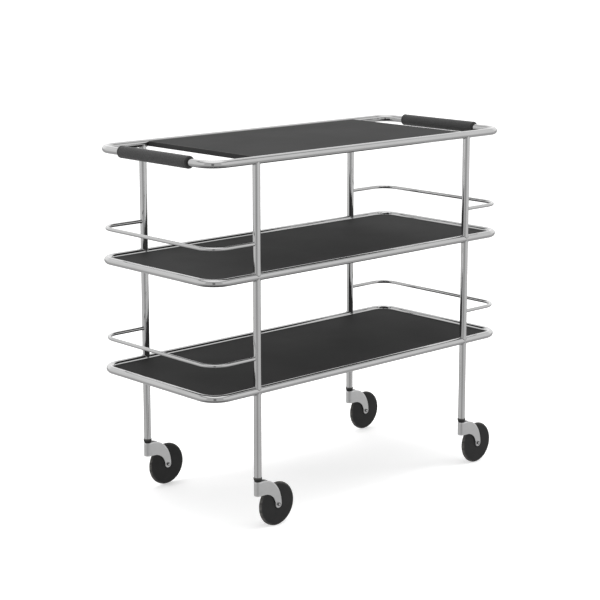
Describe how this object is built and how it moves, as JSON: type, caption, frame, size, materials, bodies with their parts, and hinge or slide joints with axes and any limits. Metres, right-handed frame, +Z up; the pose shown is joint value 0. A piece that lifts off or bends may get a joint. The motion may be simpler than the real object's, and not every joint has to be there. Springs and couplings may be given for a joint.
{
  "type": "food service trolley",
  "caption": "Serving trolley: chromed tube frame with a flat top panel, railed shelves, end grips and swivel casters.",
  "frame": {"origin": "on the floor, under the middle of the trolley", "axes": "+Z up, +X along the length, the way the casters trail at rest, and the front is the -Y long side"},
  "size_m": [1.006, 0.4416, 0.889],
  "materials": {
    "chromed_tube": "polished chrome on bent steel tube",
    "chromed_rod": "polished chrome on solid steel rod",
    "grey_laminate": "matt dark grey laminate on board",
    "grip_sleeve": "matt black grained sleeve",
    "black_plastic": "matt moulded plastic",
    "steel_stem": "turned steel",
    "satin_sheet": "satin plated pressed sheet",
    "pale_nylon": "moulded nylon",
    "zinc_fastener": "zinc plated",
    "wheel_rubber": "matt black moulded rubber"
  },
  "bodies": {
    "frame": {"top_rail": "chromed_tube", "middle_rail": "chromed_tube", "lower_rail": "chromed_tube", "upper_post_front_left": "chromed_tube", "upper_post_front_right": "chromed_tube", "upper_post_rear_left": "chromed_tube", "upper_post_rear_right": "chromed_tube", "middle_post_front_left": "chromed_tube", "middle_post_front_right": "chromed_tube", "middle_post_rear_left": "chromed_tube", "middle_post_rear_right": "chromed_tube", "lower_post_front_left": "chromed_tube", "lower_post_front_right": "chromed_tube", "lower_post_rear_left": "chromed_tube", "lower_post_rear_right": "chromed_tube", "middle_gallery_left": "chromed_rod", "middle_gallery_right": "chromed_rod", "lower_gallery_left": "chromed_rod", "lower_gallery_right": "chromed_rod", "top_panel": "grey_laminate", "middle_shelf": "grey_laminate", "lower_shelf": "grey_laminate", "left_grip": "grip_sleeve", "right_grip": "grip_sleeve", "stem_socket_front_left": "black_plastic", "caster_stem_front_left": "steel_stem", "stem_socket_front_right": "black_plastic", "caster_stem_front_right": "steel_stem", "stem_socket_rear_left": "black_plastic", "caster_stem_rear_left": "steel_stem", "stem_socket_rear_right": "black_plastic", "caster_stem_rear_right": "steel_stem"},
    "caster_front_left": {"caster_fork_front_left": "satin_sheet", "swivel_bush_front_left": "black_plastic", "axle_bolt_front_left": "zinc_fastener", "axle_nut_front_left": "zinc_fastener"},
    "wheelset_front_left": {"wheel_front_left": "wheel_rubber", "wheel_bush_front_left": "pale_nylon"},
    "caster_front_right": {"caster_fork_front_right": "satin_sheet", "swivel_bush_front_right": "black_plastic", "axle_bolt_front_right": "zinc_fastener", "axle_nut_front_right": "zinc_fastener"},
    "wheelset_front_right": {"wheel_front_right": "wheel_rubber", "wheel_bush_front_right": "pale_nylon"},
    "caster_rear_left": {"caster_fork_rear_left": "satin_sheet", "swivel_bush_rear_left": "black_plastic", "axle_bolt_rear_left": "zinc_fastener", "axle_nut_rear_left": "zinc_fastener"},
    "wheelset_rear_left": {"wheel_rear_left": "wheel_rubber", "wheel_bush_rear_left": "pale_nylon"},
    "caster_rear_right": {"caster_fork_rear_right": "satin_sheet", "swivel_bush_rear_right": "black_plastic", "axle_bolt_rear_right": "zinc_fastener", "axle_nut_rear_right": "zinc_fastener"},
    "wheelset_rear_right": {"wheel_rear_right": "wheel_rubber", "wheel_bush_rear_right": "pale_nylon"}
  },
  "joints": [
    {"name": "swivel_front_left", "type": "hinge", "parent": "frame", "child": "caster_front_left", "pos_m": [-0.355, -0.208, 0.1195], "axis": [0, 0, 1], "continuous": true},
    {"name": "swivel_front_right", "type": "hinge", "parent": "frame", "child": "caster_front_right", "pos_m": [0.355, -0.208, 0.1195], "axis": [0, 0, 1], "continuous": true},
    {"name": "swivel_rear_left", "type": "hinge", "parent": "frame", "child": "caster_rear_left", "pos_m": [-0.355, 0.208, 0.1195], "axis": [0, 0, 1], "continuous": true},
    {"name": "swivel_rear_right", "type": "hinge", "parent": "frame", "child": "caster_rear_right", "pos_m": [0.355, 0.208, 0.1195], "axis": [0, 0, 1], "continuous": true},
    {"name": "roll_front_left", "type": "hinge", "parent": "caster_front_left", "child": "wheelset_front_left", "pos_m": [-0.2975, -0.208, 0.053], "axis": [0, 1, 0], "continuous": true},
    {"name": "roll_front_right", "type": "hinge", "parent": "caster_front_right", "child": "wheelset_front_right", "pos_m": [0.4125, -0.208, 0.053], "axis": [0, 1, 0], "continuous": true},
    {"name": "roll_rear_left", "type": "hinge", "parent": "caster_rear_left", "child": "wheelset_rear_left", "pos_m": [-0.2975, 0.208, 0.053], "axis": [0, 1, 0], "continuous": true},
    {"name": "roll_rear_right", "type": "hinge", "parent": "caster_rear_right", "child": "wheelset_rear_right", "pos_m": [0.4125, 0.208, 0.053], "axis": [0, 1, 0], "continuous": true}
  ]
}
